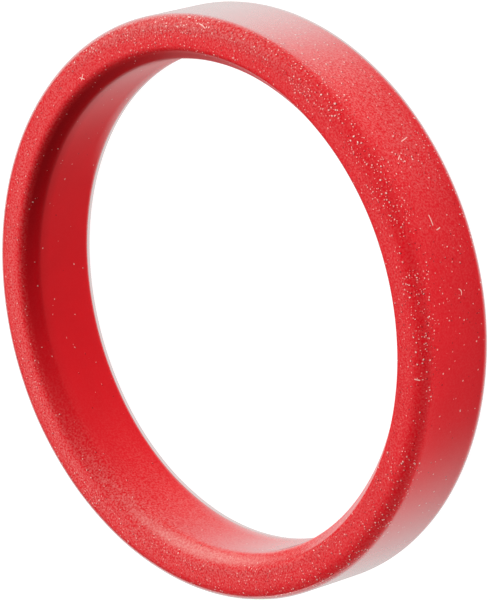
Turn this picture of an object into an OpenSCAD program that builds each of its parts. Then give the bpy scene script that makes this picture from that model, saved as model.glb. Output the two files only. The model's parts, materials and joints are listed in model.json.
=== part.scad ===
// Friction ring for opening and resting watch cases.
//
// One moulded rubber ring with a plain bore. The bore opens through a
// bevelled seat at the front face and through a rounded edge at the rear.
// The ring lies flat on its rear face: the origin is at the middle of that
// face and +Z runs along the axis to the front face.

/* [Ring] */
// Outside diameter of the ring
ring_od = 60; // [50:0.5:90]
// Width of the ring along its axis
ring_w = 10.2; // [8.5:0.1:20]
// Thickness of the wall between the bore and the outside
wall_t = 4.75; // [3.9:0.05:9]

/* [Seat] */
// How far the bevelled seat reaches outwards from the bore
seat_reach = 1.3; // [0.6:0.1:2.2]
// How deep the seat runs along the axis
seat_depth = 1.7; // [0.6:0.1:3]
// Rounding where the seat meets the front face
seat_brow_r = 0.8; // [0.2:0.1:1.2]

/* [Edges] */
// Rounding of the outside edge at the front face
front_edge_r = 1.5; // [0.4:0.1:2.4]
// Rounding of the outside edge at the rear face
rear_edge_r = 1.5; // [0.4:0.1:2.4]
// Rounding of the bore's edge at the rear face
rear_bore_edge_r = 2; // [0.4:0.1:2.8]

/* [Hidden] */
// Radius of the outside wall and of the bore
ring_r = ring_od / 2;
bore_r = ring_r - wall_t;

// Slope of the seat, measured from the front face, and how far the rounding
// of its outer corner runs along the face and along the seat
seat_angle = atan2(seat_depth, seat_reach);
brow_run = seat_brow_r * tan(seat_angle / 2);

// Overlap that keeps a cutter's edge off the surface it opens
cut_over = 1;
// How far the seat's top ends inside the brow's circle, so that rounding of
// the printed coordinates never leaves a sliver between the two
brow_bite = 0.0002;

$fn = 180;

// The waste between a square corner and the rounding that replaces it. The
// corner is at the origin, and the solid lies towards side_x and side_y,
// each 1 or -1.
module corner_waste(r, side_x, side_y) {
    low_corner = [min(0, side_x * r), min(0, side_y * r)];
    difference() {
        translate(low_corner) square(r);
        translate([side_x * r, side_y * r]) circle(r);
    }
}

// The waste in front of the seat, out to where the brow's rounding meets the
// front face. The brow's circle touches the face and the seat, and keeps the
// material behind it.
module seat_waste() {
    brow_x = bore_r + seat_reach + brow_run;
    brow_y = ring_w - seat_brow_r;
    seat_top_x = bore_r + seat_reach - brow_run * cos(seat_angle)
        + brow_bite * sin(seat_angle);
    seat_top_y = ring_w - brow_run * sin(seat_angle)
        - brow_bite * cos(seat_angle);

    difference() {
        polygon([
            [bore_r - cut_over, ring_w - seat_depth],
            [bore_r, ring_w - seat_depth],
            [seat_top_x, seat_top_y],
            [brow_x, brow_y],
            [brow_x, ring_w],
            [bore_r - cut_over, ring_w]
        ]);
        translate([brow_x, brow_y]) circle(seat_brow_r);
    }
}

// The ring's section, to the right of the axis
module ring_section() {
    difference() {
        translate([bore_r, 0]) square([wall_t, ring_w]);
        translate([ring_r, ring_w]) corner_waste(front_edge_r, -1, -1);
        translate([ring_r, 0]) corner_waste(rear_edge_r, -1, 1);
        translate([bore_r, 0]) corner_waste(rear_bore_edge_r, 1, 1);
        seat_waste();
    }
}

module friction_ring() {
    color("#D93A3C")
        rotate_extrude()
            ring_section();
}

friction_ring();
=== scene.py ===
"""A moulded red rubber friction ring for watch cases, lying on a lit opal table.

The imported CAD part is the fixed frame. Its one node, the ring, is replaced by a finer skin of the
same section that carries the unevenness of a real moulding, the powder on it and its finish.
"""

import json
import logging
import math
from dataclasses import dataclass
from enum import Enum

import bpy
import numpy as np
from mathutils import Matrix, Vector


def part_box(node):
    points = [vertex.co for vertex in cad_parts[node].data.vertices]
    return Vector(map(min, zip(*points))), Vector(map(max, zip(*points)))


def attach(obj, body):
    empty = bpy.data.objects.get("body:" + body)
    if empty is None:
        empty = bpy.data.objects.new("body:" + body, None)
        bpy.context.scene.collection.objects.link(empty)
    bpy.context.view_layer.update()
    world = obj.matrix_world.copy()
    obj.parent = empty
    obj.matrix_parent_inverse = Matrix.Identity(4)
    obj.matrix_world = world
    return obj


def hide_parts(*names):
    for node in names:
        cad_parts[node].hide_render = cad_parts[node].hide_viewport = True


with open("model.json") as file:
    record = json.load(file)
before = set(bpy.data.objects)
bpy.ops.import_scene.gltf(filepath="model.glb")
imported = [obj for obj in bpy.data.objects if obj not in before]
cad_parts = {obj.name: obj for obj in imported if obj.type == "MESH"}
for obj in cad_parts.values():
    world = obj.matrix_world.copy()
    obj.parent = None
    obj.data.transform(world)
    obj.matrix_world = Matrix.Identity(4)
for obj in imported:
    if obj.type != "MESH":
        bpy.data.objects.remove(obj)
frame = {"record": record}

MM = 0.001
BODY = "root"
NODE = "friction_ring"
SKIN_MAP = "skin_mm"
LOG = logging.getLogger("friction_ring")

# Node types and settings that the rubber's material uses again and again.
MATH = "ShaderNodeMath"
MULTIPLY = {"operation": "MULTIPLY"}
MULTIPLY_ADD = {"operation": "MULTIPLY_ADD"}
MAXIMUM = {"operation": "MAXIMUM"}
MINIMUM = {"operation": "MINIMUM"}
LESS_THAN = {"operation": "LESS_THAN"}
MAP_RANGE = "ShaderNodeMapRange"
SMOOTH = {"interpolation_type": "SMOOTHSTEP"}
BLEND = "ShaderNodeMix"
COLOURS = {"data_type": "RGBA"}
# The inputs and the output that a Mix node uses when it blends colours.
AMOUNT, BASE, TONE, BLENDED = 0, 6, 7, 2


class Zone(Enum):
    """The bands that the ring's section runs through, from the outer wall over the front face."""

    OUTER_WALL = 0
    FRONT_EDGE = 1
    FRONT_FACE = 2
    BROW = 3
    SEAT = 4
    CREASE = 5
    BORE = 6
    REAR_BORE_EDGE = 7
    REAR_FACE = 8
    REAR_EDGE = 9


def linear(hex_colour: str) -> tuple[float, float, float, float]:
    """Turns an sRGB hex colour into linear light.

    Args:
        hex_colour: the colour as "#RRGGBB".

    Returns:
        Red, green, blue and an alpha of 1, each linear.
    """
    parts = [int(hex_colour[i : i + 2], 16) / 255 for i in (1, 3, 5)]
    low = [p / 12.92 if p <= 0.04045 else ((p + 0.055) / 1.055) ** 2.4 for p in parts]
    return (low[0], low[1], low[2], 1.0)


def add_node(
    tree: bpy.types.NodeTree,
    kind: str,
    settings: dict[str, object] | None = None,
    links: dict[str | int, object] | None = None,
) -> bpy.types.Node:
    """Adds one node with its settings and its inputs.

    Args:
        tree: the node tree that gets the node.
        kind: the node's type name.
        settings: attributes of the node itself.
        links: for each input, by name or number, what feeds it: an output socket, a node whose
            first output feeds it, or a plain value.

    Returns:
        The new node.
    """
    node = tree.nodes.new(kind)
    for name, value in (settings or {}).items():
        setattr(node, name, value)
    for name, value in (links or {}).items():
        source = value.outputs[0] if isinstance(value, bpy.types.Node) else value
        if isinstance(source, bpy.types.NodeSocket):
            tree.links.new(source, node.inputs[name])
        else:
            node.inputs[name].default_value = source
    return node


@dataclass
class RingSizes:
    """The ring's section in millimetres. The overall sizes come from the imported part."""

    outer_r: float
    width: float
    bore_r: float
    seat_reach: float = 1.3
    seat_depth: float = 1.7
    brow_r: float = 0.8
    crease_r: float = 1.0
    front_edge_r: float = 1.5
    rear_edge_r: float = 1.5
    rear_bore_edge_r: float = 2.0

    @classmethod
    def from_frame(cls) -> "RingSizes":
        """Reads the outer radius and width from the node's box, and the bore from its mount.

        Returns:
            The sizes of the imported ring.
        """
        low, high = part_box(NODE)
        mounts = {m["name"]: m for m in frame["record"]["mounts"]}
        return cls(
            outer_r=(high.x - low.x) / 2 / MM,
            width=(high.z - low.z) / MM,
            bore_r=mounts["ring_bore"]["dims"]["r_mm"],
        )


@dataclass(frozen=True)
class Speck:
    """One kind of speck: the size of the cells it is scattered in, and its radius as a share of one.

    A flake of it is from smallest to largest of that radius and from faintest to 1 strong, and it
    fades from core of its own radius outwards.
    """

    cell_mm: float
    radius: float
    smallest: float = 0.6
    largest: float = 1.3
    faintest: float = 0.4
    core: float = 0.45


@dataclass(frozen=True)
class RubberFinish:
    """Injection-moulded rubber, matt from the mould's spark-eroded steel.

    It gives the eye a deep, even red. Seen at a glancing angle the fine matt texture mirrors the
    light table and goes nearly white. A pale film, partly powder in its pores and partly painted
    highlight, turns the front face pinkish.
    Lengths ending in _mm are the real sizes of what they name, except the grain: it is really
    about 0.08 mm across, and is drawn coarser so that it shows.
    """

    name: str = "moulded red rubber"
    body: str = "#EC1020"
    body_deep: str = "#DF0C1B"
    # The pale film's colour: powder, and painted highlight where it is laid thicker.
    film_and_highlight: str = "#FFD9D0"
    powder: str = "#FFE4DA"
    # The dark red of the pits, also used for the painted shadow beside each flake.
    pit_and_painted_shadow: str = "#5A0508"
    # The dark red of the painted shade on the seat, crease, brow and front edge.
    painted_shade: str = "#7A080E"
    lint: str = "#FFC9BE"
    roughness: float = 0.5
    ior: float = 1.18
    mirror: str = "#D2CFCE"
    mirror_roughness: float = 0.12
    mirror_from: float = 0.41
    mirror_most: float = 0.95
    grain_mm: float = 0.2
    cloud_mm: float = 4.0
    film_from: float = 0.3
    film_to: float = 0.75
    film_most: float = 0.24
    film_closed: float = 0.28
    film_thick: float = 3.0
    fine: Speck = Speck(0.3, 0.28)
    fine_shade: Speck = Speck(0.3, 0.3)
    coarse: Speck = Speck(1.0, 0.11)
    coarse_shade: Speck = Speck(1.0, 0.13)
    coarse_share: float = 0.5
    pits: Speck = Speck(2.4, 0.055)
    pit_share: float = 0.35
    shade_most: float = 0.75
    shade_off_mm: tuple[float, float, float] = (0.08, 0.08, 0.06)
    ragged_mm: float = 0.16
    ragged_by_mm: float = 0.2
    lint_mm: float = 0.075
    lint_core: float = 0.3
    bump: float = 0.25
    bump_mm: float = 0.04
    grain_bump: float = 0.3


@dataclass(frozen=True)
class Lint:
    """One short fibre caught on the skin.

    Its middle is around mm round the ring and across mm round the section, both from the start of
    the skin's map. It is slant degrees off the way round, length mm long, and bowed by
    bow p^2 mm at p mm from its middle.
    """

    around: float
    across: float
    slant: float
    length: float
    bow: float


@dataclass(frozen=True)
class Stretch:
    """A stretch round the ring with more of something, or less: its middle and spread in degrees."""

    amount: float
    centre: float
    spread: float

    def hump(self, turn: np.ndarray) -> np.ndarray:
        """Gives the amount round the ring: amount exp(-(angle from the centre / spread)^2)."""
        away = (np.degrees(turn) - self.centre + 180) % 360 - 180
        return self.amount * np.exp(-((away / self.spread) ** 2))


@dataclass(frozen=True)
class Cover:
    """How much of something a zone carries: an even amount, stretches of it, and random patches."""

    even: float
    stretches: tuple[Stretch, ...] = ()
    patchy: "Cover | None" = None
    waves: tuple[int, int] = (2, 18)
    seed: int = 7
    fall: float = 0.4
    contrast: float = 1.1

    def patches(self, turn: np.ndarray) -> np.ndarray:
        """Gives a random share round the ring, in patches.

        It is 0.5 + contrast s, cut to 0 to 1. Here s is the sum of cos(n t + shift) / n^fall, for n
        from the first wave to the one before the last, divided by its greatest size.

        Args:
            turn: the angle round the ring, in radians.

        Returns:
            The share at each angle.
        """
        first, last = self.waves
        rng = np.random.default_rng(self.seed + last)
        shifted = ((n, n * turn + rng.uniform(0, 2 * math.pi)) for n in range(first, last))
        total = sum(np.cos(angle) / n**self.fall for n, angle in shifted)
        return np.clip(0.5 + self.contrast * total / np.abs(total).max(), 0, 1)

    def at(self, turn: np.ndarray) -> np.ndarray:
        """Gives the whole amount at each angle round the ring, in radians."""
        total = self.even + sum((stretch.hump(turn) for stretch in self.stretches), np.zeros_like(turn))
        return total if self.patchy is None else total + self.patchy.at(turn) * self.patches(turn)


@dataclass(frozen=True)
class Dressing:
    """One attribute of the skin, zone by zone. A zone that isn't named carries the common cover."""

    name: str
    common: Cover
    zones: dict[Zone, Cover]


# Grains of moulding powder gather along the front edge and on the faces, more on some stretches.
FACE_POWDER = Cover(0.16, (), Cover(0.15, (Stretch(0.3, -10, 50), Stretch(0.5, 180, 40))))
POWDER = Dressing(
    "powder",
    Cover(0.02),
    {
        Zone.OUTER_WALL: Cover(0.05, (), Cover(0.0, (Stretch(0.35, -65, 35),)), (2, 25)),
        Zone.FRONT_EDGE: Cover(
            0.07,
            (Stretch(0.38, -50, 50), Stretch(0.16, 180, 40)),
            Cover(0.35, (Stretch(1.9, -50, 50), Stretch(0.8, 180, 40))),
            (3, 34),
        ),
        Zone.FRONT_FACE: FACE_POWDER,
        Zone.BROW: Cover(0.112, (), Cover(0.105, (Stretch(0.21, -10, 50), Stretch(0.35, 180, 40)))),
        Zone.SEAT: Cover(0.05),
        Zone.REAR_FACE: FACE_POWDER,
        Zone.REAR_EDGE: Cover(0.12, (Stretch(0.5, -70, 15),)),
    },
)

# A pale film, partly powder and partly painted highlight: the finest powder covers both faces and
# spills over the edges beside them, and the film is laid thicker on stretches round the ring where
# light falls, as a painted highlight.
FACE_FILM_AND_HIGHLIGHT = Cover(0.45, (Stretch(0.6, 95, 75),))
FILM_AND_HIGHLIGHT = Dressing(
    "film_and_highlight",
    Cover(0.03),
    {
        Zone.OUTER_WALL: Cover(0.08, (Stretch(0.9, -48, 32),)),
        Zone.FRONT_EDGE: Cover(0.225, (Stretch(0.3, 95, 75), Stretch(1.2, -10, 32))),
        Zone.FRONT_FACE: FACE_FILM_AND_HIGHLIGHT,
        Zone.BROW: Cover(0.225, (Stretch(0.3, 95, 75), Stretch(0.6, 175, 50))),
        Zone.SEAT: Cover(0.03, (Stretch(2.6, 157, 34),)),
        Zone.CREASE: Cover(0.03, (Stretch(1.6, 157, 34),)),
        Zone.BORE: Cover(0.02, (Stretch(0.8, 145, 24),)),
        Zone.REAR_FACE: FACE_FILM_AND_HIGHLIGHT,
    },
)

# The sheen at a glancing angle is weaker where the bore and its seat are sheltered from the light.
GLOSS = Dressing(
    "gloss",
    Cover(0.9, (Stretch(0.9, -45, 22),)),
    {
        Zone.BROW: Cover(0.9, (Stretch(-0.7, -20, 40), Stretch(-0.5, -135, 28))),
        Zone.SEAT: Cover(0.03, (Stretch(0.06, 10, 25), Stretch(0.195, 170, 45), Stretch(0.5, -140, 35))),
        Zone.CREASE: Cover(0.06, (Stretch(0.12, 10, 25), Stretch(0.39, 170, 45))),
        Zone.BORE: Cover(0.1, (Stretch(0.2, 10, 25), Stretch(0.65, 170, 45))),
        Zone.REAR_BORE_EDGE: Cover(0.2, (Stretch(6.0, 95, 55),)),
    },
)

# Painted shade: the seat and the crease are darkened most on one stretch round the ring, and the front edge
# and the brow a little.
PAINTED_SHADE = Dressing(
    "painted_shade",
    Cover(0.0),
    {
        Zone.FRONT_EDGE: Cover(0.0, (Stretch(0.25, -15, 45),)),
        Zone.BROW: Cover(0.0, (Stretch(0.12, 175, 50),)),
        Zone.SEAT: Cover(0.0, (Stretch(0.72, 35, 48), Stretch(0.12, 175, 40))),
        Zone.CREASE: Cover(0.0, (Stretch(0.45, 35, 48),)),
    },
)


class RubberSkin:
    """Makes the ring's material from its finish."""

    def __init__(self, finish: RubberFinish) -> None:
        """Keeps the finish and starts an empty material.

        Args:
            finish: how the rubber looks.
        """
        self.finish = finish
        self.material = bpy.data.materials.new(finish.name)
        self.material.use_nodes = True
        self.tree = self.material.node_tree
        self.tree.nodes.clear()

    def specks(self, place: object, speck: Speck, share: object) -> bpy.types.Node:
        """Scatters flakes, one or none in each cell of a random foam.

        A cell carries three random numbers: one says whether it holds a flake, and the others give
        the flake's radius and its strength.

        Args:
            place: the surface's place in metres.
            speck: the kind of speck.
            share: the share of the cells that hold one, as a value or a socket.

        Returns:
            A node that gives up to 1 on a flake and 0 off it.
        """
        tree = self.tree
        scale = 1 / (speck.cell_mm * MM)
        foam = add_node(tree, "ShaderNodeTexVoronoi", {"feature": "F1"}, {"Vector": place, "Scale": scale})
        chance = add_node(tree, "ShaderNodeSeparateColor", {}, {"Color": foam.outputs["Color"]})
        present = add_node(tree, MATH, LESS_THAN, {0: chance.outputs["Red"], 1: share})
        least, most = speck.radius * speck.smallest, speck.radius * speck.largest
        radii = {0: chance.outputs["Green"], 1: most - least, 2: least}
        reach = add_node(tree, MATH, MULTIPLY_ADD, radii)
        near = add_node(tree, MATH, {"operation": "DIVIDE"}, {0: foam.outputs["Distance"], 1: reach})
        spot = add_node(tree, MAP_RANGE, SMOOTH, {"Value": near, "From Min": 1.0, "From Max": speck.core})
        strengths = {0: chance.outputs["Blue"], 1: 1 - speck.faintest, 2: speck.faintest}
        strength = add_node(tree, MATH, MULTIPLY_ADD, strengths)
        flake = add_node(tree, MATH, MULTIPLY, {0: spot, 1: present})
        return add_node(tree, MATH, MULTIPLY, {0: flake, 1: strength})

    def fibre(self, way: bpy.types.NodeSocket, lint: Lint) -> bpy.types.Node:
        """Draws one bowed fibre: the strip where q - bow p^2 is small, for p along it and q beside it.

        Args:
            way: the skin's map, in millimetres round the ring and round its section.
            lint: the fibre.

        Returns:
            A node that gives 1 on the fibre and 0 off it.
        """
        tree, half_width = self.tree, self.finish.lint_mm
        middle, turn = (lint.around, lint.across, 0), (0, 0, math.radians(lint.slant))
        own = {"Vector": way, "Location": middle, "Rotation": turn}
        own_way = add_node(tree, "ShaderNodeMapping", {"vector_type": "TEXTURE"}, own)
        axes = add_node(tree, "ShaderNodeSeparateXYZ", {}, {"Vector": own_way})
        p, q = axes.outputs["X"], axes.outputs["Y"]
        p_squared = add_node(tree, MATH, MULTIPLY, {0: p, 1: p})
        off = add_node(tree, MATH, MULTIPLY_ADD, {0: p_squared, 1: -lint.bow, 2: q})
        aside = add_node(tree, MATH, {"operation": "ABSOLUTE"}, {0: off})
        rims = {"Value": aside, "From Min": half_width, "From Max": half_width * self.finish.lint_core}
        beside = add_node(tree, MAP_RANGE, SMOOTH, rims)
        from_middle = add_node(tree, MATH, {"operation": "ABSOLUTE"}, {0: p})
        within = add_node(tree, MATH, LESS_THAN, {0: from_middle, 1: lint.length / 2})
        return add_node(tree, MATH, MULTIPLY, {0: beside, 1: within})

    def build(self, fibres: tuple[Lint, ...]) -> bpy.types.Material:
        """Builds the material.

        Args:
            fibres: the fibres that lie on the skin.

        Returns:
            The finished material.
        """
        look, tree = self.finish, self.tree
        place = add_node(tree, "ShaderNodeTexCoord").outputs["Object"]
        powder, film_and_highlight, gloss, painted_shade = (
            add_node(tree, "ShaderNodeAttribute", {"attribute_name": dressing.name}).outputs["Fac"]
            for dressing in (POWDER, FILM_AND_HIGHLIGHT, GLOSS, PAINTED_SHADE)
        )
        way = add_node(tree, "ShaderNodeAttribute", {"attribute_name": SKIN_MAP}).outputs["Vector"]

        # Ragged flakes: the foam is bent by a noise about as fine as the flakes.
        ragged = {"Vector": place, "Scale": 1 / (look.ragged_mm * MM), "Detail": 1.0}
        warp = add_node(tree, "ShaderNodeTexNoise", {}, ragged).outputs["Color"]
        pull = (look.ragged_by_mm * MM,) * 3
        bent = add_node(tree, "ShaderNodeVectorMath", MULTIPLY_ADD, {0: warp, 1: pull, 2: place})
        # Each flake gets a painted shadow beside it: the same foam, read a little further on.
        aside = tuple(step * MM for step in look.shade_off_mm)
        beside = add_node(tree, "ShaderNodeVectorMath", {"operation": "ADD"}, {0: bent, 1: aside})
        sparse = add_node(tree, MATH, MULTIPLY, {0: powder, 1: look.coarse_share})
        fine = self.specks(bent, look.fine, powder)
        coarse = self.specks(bent, look.coarse, sparse)
        fine_shade = self.specks(beside, look.fine_shade, powder)
        coarse_shade = self.specks(beside, look.coarse_shade, sparse)
        pits = self.specks(bent, look.pits, look.pit_share)
        white = add_node(tree, MATH, MAXIMUM, {0: fine, 1: coarse})
        darkest = add_node(tree, MATH, MAXIMUM, {0: fine_shade, 1: coarse_shade})
        shade = add_node(tree, MATH, MULTIPLY, {0: darkest, 1: look.shade_most})
        hairs = 0.0
        for lint in fibres:
            hairs = add_node(tree, MATH, MAXIMUM, {0: hairs, 1: self.fibre(way, lint)})

        # The pale film, powder and painted highlight together, lies thin in the grain of the skin; laid
        # thick, it closes up.
        fine_grain = {"Vector": place, "Scale": 1 / (look.grain_mm * MM), "Detail": 2.0}
        grain = add_node(tree, "ShaderNodeTexNoise", {}, fine_grain).outputs["Fac"]
        lies = {"From Min": look.film_from, "From Max": look.film_to, "To Max": look.film_most}
        in_grain = add_node(tree, MAP_RANGE, SMOOTH, {"Value": grain, **lies})
        thin = add_node(tree, MATH, MINIMUM, {0: film_and_highlight, 1: 1.0})
        thin_film = add_node(tree, MATH, MULTIPLY, {0: in_grain, 1: thin})
        thick = {"Value": film_and_highlight, "From Min": 1.0, "From Max": look.film_thick, "To Max": look.film_closed}
        thick_film = add_node(tree, MAP_RANGE, SMOOTH, thick)
        film_and_highlight_amount = add_node(tree, MATH, {"operation": "ADD"}, {0: thin_film, 1: thick_film})

        # The colours lie over each other in this order, from the rubber itself to the fibres.
        clouds = {"Vector": place, "Scale": 1 / (look.cloud_mm * MM), "Detail": 3.0}
        deep = add_node(tree, "ShaderNodeTexNoise", {}, clouds).outputs["Fac"]
        colour = linear(look.body)
        for amount, tone in (
            (deep, look.body_deep),
            # painted shade on the seat, crease, brow and front edge
            (painted_shade, look.painted_shade),
            # pale film: powder, and painted highlight where it is thicker
            (film_and_highlight_amount, look.film_and_highlight),
            # painted shadow beside each flake
            (shade, look.pit_and_painted_shadow),
            (pits, look.pit_and_painted_shadow),
            (white, look.powder),
            (hairs, look.lint),
        ):
            layer = {AMOUNT: amount, BASE: colour, TONE: linear(tone)}
            colour = add_node(tree, BLEND, COLOURS, layer).outputs[BLENDED]

        proud = add_node(tree, MATH, MAXIMUM, {0: white, 1: hairs})
        height = add_node(tree, MATH, MULTIPLY_ADD, {0: grain, 1: look.grain_bump, 2: proud})
        relief = {"Strength": look.bump, "Distance": look.bump_mm * MM, "Height": height}
        bump = add_node(tree, "ShaderNodeBump", {}, relief)
        solid = {"Base Color": colour, "Roughness": look.roughness, "IOR": look.ior, "Normal": bump}
        rubber = add_node(tree, "ShaderNodeBsdfPrincipled", {}, solid)

        # A matt texture shows only its tops at a glancing angle, and those mirror what lies beyond.
        glance = add_node(tree, "ShaderNodeLayerWeight").outputs["Facing"]
        sheen = add_node(tree, MAP_RANGE, SMOOTH, {"Value": glance, "From Min": look.mirror_from})
        zoned = add_node(tree, MATH, MULTIPLY, {0: sheen, 1: gloss})
        mirrored = add_node(tree, MATH, MINIMUM, {0: zoned, 1: look.mirror_most})
        polish = {"Color": linear(look.mirror), "Roughness": look.mirror_roughness}
        tops = add_node(tree, "ShaderNodeBsdfGlossy", {}, polish)
        skin = add_node(tree, "ShaderNodeMixShader", {}, {0: mirrored, 1: rubber, 2: tops})
        add_node(tree, "ShaderNodeOutputMaterial", {}, {"Surface": skin})
        return self.material


@dataclass
class FrictionRing:
    """The moulded ring: one closed skin swept round the axis.

    The steps say how finely the skin is divided: round the axis, along each rounding of the
    section, and along each straight stretch after it. The flaws are hollows of at most flaw_depth
    mm, made of waves that weaken as 1 / n^flaw_fall, for n from 2 to one below flaw_waves.
    """

    sizes: RingSizes
    finish: RubberFinish
    turn_steps: int = 720
    arc_steps: tuple[int, ...] = (12, 8, 6, 12, 12)
    flat_steps: tuple[int, ...] = (7, 8, 16, 6, 18)
    flaw_depth: float = 0.05
    flaw_waves: int = 26
    flaw_fall: float = 0.9
    seed: int = 7
    soft_steps: int = 2
    fibres: tuple[Lint, ...] = (
        Lint(152.4, 22.4, -74, 1.1, 0.05),
        Lint(150.7, 24.4, -50, 0.6, 0.0),
        Lint(143.9, 23.8, 5, 1.1, 0.1),
        Lint(142.9, 23.2, -75, 0.6, 0.3),
        Lint(136.5, 22.1, 20, 0.7, 1.6),
        Lint(176.9, 1.6, -20, 0.9, 0.2),
        Lint(128.7, 1.7, 85, 0.6, 0.0),
        Lint(8.6, 3.7, 30, 0.8, 0.0),
        Lint(8.7, 3.8, -40, 0.8, 0.1),
    )

    def section(self) -> tuple[np.ndarray, np.ndarray]:
        """Works out the section's outline, counter-clockwise, with x outwards and z along the axis.

        Each rounding is an arc, (x + r cos t, z + r sin t), about its own centre, and straight
        lines join them.

        Returns:
            The points in millimetres, and the zone of each.
        """
        s = self.sizes
        slope = math.atan2(s.seat_depth, s.seat_reach)
        brow_x = s.bore_r + s.seat_reach + s.brow_r * math.tan(slope / 2)
        crease_z = s.width - s.seat_depth - s.crease_r * math.tan((math.pi / 2 - slope) / 2)
        outwards, forwards, inwards, rearwards = 0.0, math.pi / 2, math.pi, 1.5 * math.pi
        on_seat = forwards + slope
        roundings = (
            (s.outer_r - s.front_edge_r, s.width - s.front_edge_r, s.front_edge_r, outwards, forwards),
            (brow_x, s.width - s.brow_r, s.brow_r, forwards, on_seat),
            (s.bore_r + s.crease_r, crease_z, s.crease_r, on_seat, inwards),
            (s.bore_r + s.rear_bore_edge_r, s.rear_bore_edge_r, s.rear_bore_edge_r, inwards, rearwards),
            (s.outer_r - s.rear_edge_r, s.rear_edge_r, s.rear_edge_r, rearwards, 2 * math.pi),
        )
        round_zones = (Zone.FRONT_EDGE, Zone.BROW, Zone.CREASE, Zone.REAR_BORE_EDGE, Zone.REAR_EDGE)
        flat_zones = (Zone.FRONT_FACE, Zone.SEAT, Zone.BORE, Zone.REAR_FACE, Zone.OUTER_WALL)
        arcs = []
        for (x, z, r, start, stop), steps in zip(roundings, self.arc_steps):
            turn = np.linspace(start, stop, steps + 1)
            arcs.append(np.stack([x + r * np.cos(turn), z + r * np.sin(turn)], 1))
        points, zones = [], []
        for i, arc in enumerate(arcs):
            following = arcs[(i + 1) % len(arcs)][0]
            share = np.linspace(0, 1, self.flat_steps[i] + 1)[1:-1, None]
            flat = arc[-1] * (1 - share) + following * share
            points += [arc, flat]
            zones += [np.full(len(arc), round_zones[i].value), np.full(len(flat), flat_zones[i].value)]
        return np.concatenate(points), np.concatenate(zones)

    def unevenness(self, turn: np.ndarray, along: np.ndarray) -> np.ndarray:
        """Gives the shallow hollows that a moulding keeps from its cooling.

        The depth is a sum of waves that close on themselves both round the ring and round its
        section, shifted so that it is never below 0: the skin only ever lies inside its true size.

        Args:
            turn: the angle round the axis, in radians, as a column.
            along: the way round the section, from 0 to 2 pi, as a row.

        Returns:
            The depth in millimetres for every pair.
        """
        rng = np.random.default_rng(self.seed)
        depth = np.zeros((turn.shape[0], along.shape[1]))
        for waves in range(2, self.flaw_waves):
            strength = 1 / waves**self.flaw_fall
            across = rng.integers(-2, 3)
            depth += strength * np.cos(waves * turn + across * along + rng.uniform(0, 2 * math.pi))
        depth = (depth - depth.min()) / (depth.max() - depth.min())
        return self.flaw_depth * depth

    def mesh(self) -> bpy.types.Mesh:
        """Sweeps the section round the axis.

        A point is (x cos t, x sin t, z), where x and z run round the section and t round the axis,
        moved inwards along the section's own normal by the unevenness.

        Returns:
            The mesh, in metres, smooth, with its dressing and its map.
        """
        outline, zones = self.section()
        ahead, behind = np.roll(outline, -1, 0), np.roll(outline, 1, 0)
        way = ahead - behind
        normal = np.stack([way[:, 1], -way[:, 0]], 1) / np.linalg.norm(way, axis=1, keepdims=True)
        length = np.linalg.norm(ahead - outline, axis=1)
        along = 2 * math.pi * np.concatenate([[0], np.cumsum(length)[:-1]]) / length.sum()

        turn = np.linspace(0, 2 * math.pi, self.turn_steps, endpoint=False)[:, None]
        depth = self.unevenness(turn, along[None])
        x = outline[:, 0] - normal[:, 0] * depth
        z = outline[:, 1] - normal[:, 1] * depth
        places = np.stack([x * np.cos(turn), x * np.sin(turn), z], 2).reshape(-1, 3) * MM

        rows, columns = self.turn_steps, len(outline)
        i, j = np.meshgrid(np.arange(rows), np.arange(columns), indexing="ij")
        i_next, j_next = (i + 1) % rows, (j + 1) % columns
        corners = [i * columns + j, i_next * columns + j, i_next * columns + j_next, i * columns + j_next]
        quads = np.stack([c.ravel() for c in corners], 1)

        mesh = bpy.data.meshes.new("friction_ring_skin")
        mesh.vertices.add(len(places))
        mesh.vertices.foreach_set("co", places.astype(np.float32).ravel())
        mesh.loops.add(quads.size)
        mesh.loops.foreach_set("vertex_index", quads.astype(np.int32).ravel())
        mesh.polygons.add(len(quads))
        mesh.polygons.foreach_set("loop_start", np.arange(0, quads.size, 4, dtype=np.int32))
        mesh.polygons.foreach_set("use_smooth", np.ones(len(quads), bool))
        mesh.update(calc_edges=True)
        self.add_attributes(mesh, turn, zones)
        self.add_map(mesh, i.ravel(), j.ravel(), length)
        return mesh

    def add_attributes(self, mesh: bpy.types.Mesh, turn: np.ndarray, zones: np.ndarray) -> None:
        """Writes each dressing to the mesh, one value a point.

        Each value is the mean over the point and its neighbours along the section, soft_steps to
        either side, which evens out the steps between zones.

        Args:
            mesh: the ring's mesh.
            turn: the angle of each row of points, in radians, as a column.
            zones: the zone of each point of the section.
        """
        near = range(-self.soft_steps, self.soft_steps + 1)
        for dressing in (POWDER, FILM_AND_HIGHLIGHT, GLOSS, PAINTED_SHADE):
            covers = [dressing.zones.get(zone, dressing.common).at(turn) for zone in Zone]
            amounts = np.concatenate(covers, 1)[:, zones]
            values = sum(np.roll(amounts, step, 1) for step in near) / len(near)
            attribute = mesh.attributes.new(dressing.name, "FLOAT", "POINT")
            attribute.data.foreach_set("value", values.astype(np.float32).ravel())

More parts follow.
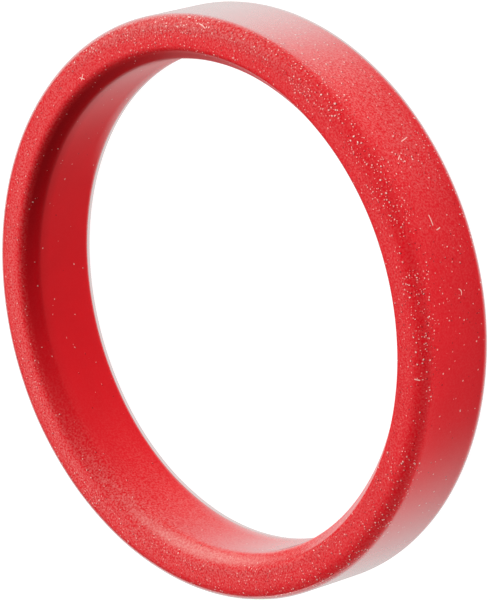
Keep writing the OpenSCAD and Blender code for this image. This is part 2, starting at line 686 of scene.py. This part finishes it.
    def add_map(
        self, mesh: bpy.types.Mesh, rows: np.ndarray, columns: np.ndarray, length: np.ndarray
    ) -> None:
        """Writes the skin's map, in millimetres: each corner's way round the ring and round its section.

        The way round the ring is taken at its outer radius. The last row and column run on past the
        seam and don't go back to 0, so nothing is squeezed there.

        Args:
            mesh: the ring's mesh.
            rows: the row of each face.
            columns: the column of each face.
            length: the length of each step of the section.
        """
        step = 2 * math.pi * self.sizes.outer_r / self.turn_steps
        way = np.concatenate([[0], np.cumsum(length)])
        around = step * np.stack([rows, rows + 1, rows + 1, rows], 1)
        across = np.stack([way[columns], way[columns], way[columns + 1], way[columns + 1]], 1)
        skin = mesh.uv_layers.new(name=SKIN_MAP)
        skin.data.foreach_set("uv", np.stack([around, across], 2).astype(np.float32).ravel())

    def build(self) -> bpy.types.Object:
        """Builds the ring, dresses it and ties it to the frame.

        Returns:
            The finished piece.
        """
        mesh = self.mesh()
        mesh.materials.append(RubberSkin(self.finish).build(self.fibres))
        piece = bpy.data.objects.new("friction_ring_skin", mesh)
        bpy.context.scene.collection.objects.link(piece)
        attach(piece, BODY)
        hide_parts(NODE)
        return piece


@dataclass(frozen=True)
class Softbox:
    """A square lamp behind a diffuser, aimed at the ring. Angles are in degrees, sizes in metres."""

    name: str
    azimuth: float
    elevation: float
    distance: float
    side: float
    power: float


@dataclass(frozen=True)
class Viewpoint:
    """Where the camera stands: angles in degrees, lengths as shares of the ring's outer radius.

    The lens's focal length is a share of the sensor's width.
    """

    elevation: float = 43.73
    roll: float = 105.5
    distance: float = 16.395
    focal_share: float = 8.1885
    right: float = -0.1477
    up: float = -0.0374


@dataclass(frozen=True)
class OpalFinish:
    """Cast opal acrylic, lit from beneath: an even white that shows no shadow.

    Its body is grey, so that the lamps above add little to its own light.
    """

    name: str
    glow: float
    body: str = "#616161"
    light: str = "#FFFFFF"
    roughness: float = 0.8

    def build(self) -> bpy.types.Material:
        """Builds the material.

        Returns:
            The finished material.
        """
        material = bpy.data.materials.new(self.name)
        material.use_nodes = True
        tree = material.node_tree
        tree.nodes.clear()
        inputs = {
            "Base Color": linear(self.body),
            "Roughness": self.roughness,
            "Emission Color": linear(self.light),
            "Emission Strength": self.glow,
        }
        opal = add_node(tree, "ShaderNodeBsdfPrincipled", {}, inputs)
        add_node(tree, "ShaderNodeOutputMaterial", {}, {"Surface": opal})
        return material


@dataclass
class Studio:
    """The light table, the lamps and the camera round the ring. Lengths are in metres."""

    sizes: RingSizes
    floor_half: float = 3.0
    near_half: float = 0.08
    even: OpalFinish = OpalFinish("opal acrylic, lit", 1.0)
    bright: OpalFinish = OpalFinish("opal acrylic, brightly lit", 3.2)
    room: str = "#FFFFFF"
    room_light: float = 0.0
    viewpoint: Viewpoint = Viewpoint()
    softboxes: tuple[Softbox, ...] = (
        Softbox("key", 90.0, 48.0, 1.2, 0.8, 8.7),
        Softbox("back", 180.0, 48.0, 1.2, 0.8, 5.3),
        Softbox("back right", 135.0, 48.0, 1.2, 0.8, 3.8),
        Softbox("back left", 225.0, 48.0, 1.2, 0.8, 1.5),
        Softbox("low right", 45.0, 14.0, 1.2, 0.8, 2.9),
        Softbox("low front", 0.0, 14.0, 1.2, 0.8, 0.9),
    )

    def direction(self, azimuth: float, elevation: float) -> Vector:
        """Gives the unit direction to a lamp: azimuth 0 is towards -Y, and 90 towards +X."""
        a, e = math.radians(azimuth), math.radians(elevation)
        return Vector((math.sin(a) * math.cos(e), -math.cos(a) * math.cos(e), math.sin(e)))

    def floor(self) -> bpy.types.Object:
        """Lays the light table under the ring, in the plane of its rear face.

        It is a square out to near_half, with a panel on each side that widens to floor_half. The
        square and the back and right panels glow evenly. The panels in front and at the left glow
        more and send light along the table.

        Returns:
            The table.
        """
        signs = np.array([(-1, -1, 0), (1, -1, 0), (1, 1, 0), (-1, 1, 0)])
        corners = np.concatenate([signs * self.near_half, signs * self.floor_half])
        front, right, back, left = ([n, (n + 1) % 4, 4 + (n + 1) % 4, 4 + n][::-1] for n in range(4))
        mesh = bpy.data.meshes.new("light_table")
        mesh.from_pydata(corners.tolist(), [], [[0, 1, 2, 3], right, back, front, left])
        mesh.materials.append(self.even.build())
        mesh.materials.append(self.bright.build())
        mesh.polygons.foreach_set("material_index", [0, 0, 0, 1, 1])
        table = bpy.data.objects.new("light_table", mesh)
        bpy.context.scene.collection.objects.link(table)
        return table

    def lights(self) -> list[bpy.types.Object]:
        """Hangs the softboxes, in a room that is white to the camera and only room_light bright to the rest.

        Returns:
            The lamps.
        """
        world = bpy.data.worlds.new("white room")
        world.use_nodes = True
        tree = world.node_tree
        tree.nodes.clear()
        seen = add_node(tree, "ShaderNodeLightPath").outputs["Is Camera Ray"]
        glow = add_node(tree, MAP_RANGE, {}, {"Value": seen, "To Min": self.room_light})
        walls = add_node(tree, "ShaderNodeBackground", {}, {"Color": linear(self.room), "Strength": glow})
        add_node(tree, "ShaderNodeOutputWorld", {}, {"Surface": walls})
        bpy.context.scene.world = world
        lamps = []
        for box in self.softboxes:
            data = bpy.data.lights.new(box.name, "AREA")
            data.shape = "SQUARE"
            data.size = box.side
            data.energy = box.power
            lamp = bpy.data.objects.new(box.name, data)
            way = self.direction(box.azimuth, box.elevation)
            lamp.location = way * box.distance
            lamp.rotation_euler = way.to_track_quat("Z", "Y").to_euler()
            lamp.visible_camera = False
            bpy.context.scene.collection.objects.link(lamp)
            lamps.append(lamp)
        return lamps

    def camera(self) -> bpy.types.Object:
        """Stands the camera at its viewpoint, turned about its own axis.

        Returns:
            The camera.
        """
        v = self.viewpoint
        radius = self.sizes.outer_r * MM
        target = Vector((0, 0, self.sizes.width * MM))
        back = self.direction(0, v.elevation)
        level = Vector((1, 0, 0))
        turned = Matrix.Rotation(math.radians(-v.roll), 3, back)
        right = turned @ level
        up = back.cross(right)
        data = bpy.data.cameras.new("camera")
        data.sensor_fit = "AUTO"
        data.sensor_width = 36.0
        data.lens = data.sensor_width * v.focal_share
        data.clip_start = 0.01
        camera = bpy.data.objects.new("camera", data)
        axes = Matrix((right, up, back)).transposed().to_4x4()
        place = target + (back * v.distance - right * v.right - up * v.up) * radius
        camera.matrix_world = Matrix.Translation(place) @ axes
        bpy.context.scene.collection.objects.link(camera)
        bpy.context.scene.camera = camera
        return camera

    def build(self) -> None:
        """Builds the light table, the lamps and the camera."""
        self.floor()
        self.lights()
        self.camera()
        bpy.context.scene.view_settings.view_transform = "Standard"


def main() -> None:
    """Builds the studio and the ring, and logs the ring's number of faces."""
    logging.basicConfig(level=logging.INFO, format="%(name)s: %(message)s")
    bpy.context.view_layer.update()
    sizes = RingSizes.from_frame()
    Studio(sizes).build()
    ring = FrictionRing(sizes, RubberFinish()).build()
    LOG.info("%s: %d faces", ring.name, len(ring.data.polygons))


if __name__ == "__main__":
    main()
